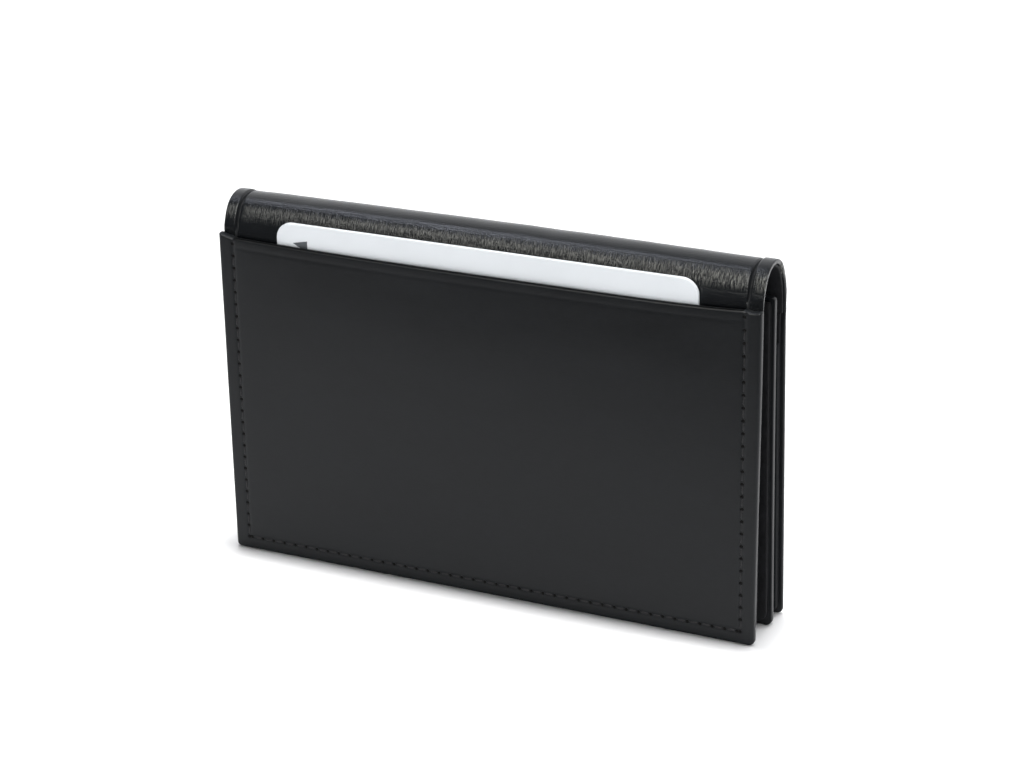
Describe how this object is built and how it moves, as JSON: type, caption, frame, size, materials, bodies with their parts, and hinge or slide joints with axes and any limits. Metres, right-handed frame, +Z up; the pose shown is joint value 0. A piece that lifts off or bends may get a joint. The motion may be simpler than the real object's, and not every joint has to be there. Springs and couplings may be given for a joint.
{
  "type": "card holder",
  "caption": "Bifold leather card holder standing with its fold on top: outside pocket with a card, a middle leaf on a folding gusset, and a flap that opens on a curved spine.",
  "frame": {"origin": "middle of the case's footprint, on the surface that it stands on", "axes": "+X along the fold to the right as seen from the outside pocket, +Y from the outside pocket towards the flap, +Z up towards the fold"},
  "size_m": [0.1102, 0.0158, 0.072],
  "materials": {
    "case_leather": "smooth semi-matt black leather with a fine horizontal grain",
    "spine_leather": "the same black leather bent over the spine, where its fine creases catch the light",
    "lining_leather": "matt black split leather",
    "stiffening_board": "bonded leather fibre board, unfinished",
    "thread": "waxed black sewing thread",
    "card_plastic": "plain white card, satin"
  },
  "bodies": {
    "front_half": {"outside_pocket": "case_leather", "pocket_lining": "lining_leather", "pocket_edge_left": "case_leather", "pocket_edge_right": "case_leather", "pocket_edge_bottom": "case_leather", "front_cover": "case_leather", "front_board": "stiffening_board", "front_lining": "lining_leather", "front_stitches": "thread", "gusset_flange_front": "lining_leather"},
    "spine_1": {"spine_cover_1": "spine_leather", "spine_lining_1": "lining_leather", "spine_stitches_1": "thread"},
    "spine_2": {"spine_cover_2": "spine_leather", "spine_lining_2": "lining_leather", "spine_stitches_2": "thread"},
    "spine_3": {"spine_cover_3": "spine_leather", "spine_lining_3": "lining_leather", "spine_stitches_3": "thread"},
    "spine_4": {"spine_cover_4": "spine_leather", "spine_lining_4": "lining_leather", "spine_stitches_4": "thread"},
    "spine_5": {"spine_cover_5": "spine_leather", "spine_lining_5": "lining_leather", "spine_stitches_5": "thread"},
    "spine_6": {"spine_cover_6": "spine_leather", "spine_lining_6": "lining_leather", "spine_stitches_6": "thread"},
    "flap": {"flap_cover": "case_leather", "flap_board": "stiffening_board", "flap_lining": "lining_leather", "flap_pocket": "case_leather", "flap_pocket_edge_left": "case_leather", "flap_pocket_edge_right": "case_leather", "flap_pocket_edge_bottom": "case_leather", "flap_stitches": "thread"},
    "leaf": {"leaf_leather": "case_leather", "leaf_board": "stiffening_board", "leaf_lining": "lining_leather", "leaf_stitches": "thread", "gusset_flange_leaf": "lining_leather"},
    "gusset_left_front": {"gusset_left_front": "lining_leather"},
    "gusset_right_front": {"gusset_right_front": "lining_leather"},
    "gusset_bottom_front": {"gusset_bottom_front": "lining_leather"},
    "gusset_left_back": {"gusset_left_back": "lining_leather"},
    "gusset_right_back": {"gusset_right_back": "lining_leather"},
    "gusset_bottom_back": {"gusset_bottom_back": "lining_leather"},
    "card": {"card": "card_plastic"}
  },
  "joints": [
    {"name": "spine_fold_1", "type": "hinge", "parent": "front_half", "child": "spine_1", "pos_m": [0, -0.00628, 0.0635], "axis": [1, 0, 0], "range_deg": [-0.15, 14.86]},
    {"name": "spine_fold_2", "type": "hinge", "parent": "spine_1", "child": "spine_2", "pos_m": [0, -0.00471, 0.0694], "axis": [1, 0, 0], "range_deg": [-0.3, 29.72]},
    {"name": "spine_fold_3", "type": "hinge", "parent": "spine_2", "child": "spine_3", "pos_m": [0, -0.00286, 0.07128], "axis": [1, 0, 0], "range_deg": [-0.3, 29.72]},
    {"name": "spine_fold_4", "type": "hinge", "parent": "spine_3", "child": "spine_4", "pos_m": [0, -0.00032, 0.072], "axis": [1, 0, 0], "range_deg": [-0.3, 29.72]},
    {"name": "spine_fold_5", "type": "hinge", "parent": "spine_4", "child": "spine_5", "pos_m": [0, 0.00224, 0.07136], "axis": [1, 0, 0], "range_deg": [-0.3, 29.72]},
    {"name": "spine_fold_6", "type": "hinge", "parent": "spine_5", "child": "spine_6", "pos_m": [0, 0.00415, 0.06953], "axis": [1, 0, 0], "range_deg": [-0.3, 29.72]},
    {"name": "flap_fold", "type": "hinge", "parent": "spine_6", "child": "flap", "pos_m": [0, 0.00589, 0.06368], "axis": [1, 0, 0], "range_deg": [-0.15, 14.86]},
    {"name": "leaf_slide", "type": "slide", "parent": "front_half", "child": "leaf", "axis": [0, 1, 0], "range_m": [-0.0034, 0.0014]},
    {"name": "gusset_right_front_fold", "type": "hinge", "parent": "front_half", "child": "gusset_right_front", "pos_m": [0.05175, -0.00463, 0.0325], "axis": [0, 0, -1], "range_deg": [-12.64, 5.27]},
    {"name": "gusset_left_front_fold", "type": "hinge", "parent": "front_half", "child": "gusset_left_front", "pos_m": [-0.05175, -0.00463, 0.0325], "axis": [0, 0, 1], "range_deg": [-12.64, 5.27]},
    {"name": "gusset_bottom_front_fold", "type": "hinge", "parent": "front_half", "child": "gusset_bottom_front", "pos_m": [0, -0.00463, 0.0034], "axis": [-1, 0, 0], "range_deg": [-12.64, 5.27]},
    {"name": "gusset_right_back_fold", "type": "hinge", "parent": "leaf", "child": "gusset_right_back", "pos_m": [0.05175, -0.00023, 0.0325], "axis": [0, 0, 1], "range_deg": [-12.64, 5.27]},
    {"name": "gusset_left_back_fold", "type": "hinge", "parent": "leaf", "child": "gusset_left_back", "pos_m": [-0.05175, -0.00023, 0.0325], "axis": [0, 0, -1], "range_deg": [-12.64, 5.27]},
    {"name": "gusset_bottom_back_fold", "type": "hinge", "parent": "leaf", "child": "gusset_bottom_back", "pos_m": [0, -0.00023, 0.0034], "axis": [1, 0, 0], "range_deg": [-12.64, 5.27]},
    {"name": "card_slide", "type": "slide", "parent": "front_half", "child": "card", "axis": [0, 0, 1], "range_m": [-0.0118, 0.0501]}
  ],
  "couplings": [
    {"joint": "spine_fold_1", "follows": "flap_fold", "ratio": 1},
    {"joint": "spine_fold_2", "follows": "flap_fold", "ratio": 2},
    {"joint": "spine_fold_3", "follows": "flap_fold", "ratio": 2},
    {"joint": "spine_fold_4", "follows": "flap_fold", "ratio": 2},
    {"joint": "spine_fold_5", "follows": "flap_fold", "ratio": 2},
    {"joint": "spine_fold_6", "follows": "flap_fold", "ratio": 2},
    {"joint": "gusset_left_front_fold", "follows": "leaf_slide", "rad_per_m": 64.392},
    {"joint": "gusset_right_front_fold", "follows": "leaf_slide", "rad_per_m": 64.392},
    {"joint": "gusset_bottom_front_fold", "follows": "leaf_slide", "rad_per_m": 64.392},
    {"joint": "gusset_left_back_fold", "follows": "leaf_slide", "rad_per_m": 64.392},
    {"joint": "gusset_right_back_fold", "follows": "leaf_slide", "rad_per_m": 64.392},
    {"joint": "gusset_bottom_back_fold", "follows": "leaf_slide", "rad_per_m": 64.392}
  ]
}
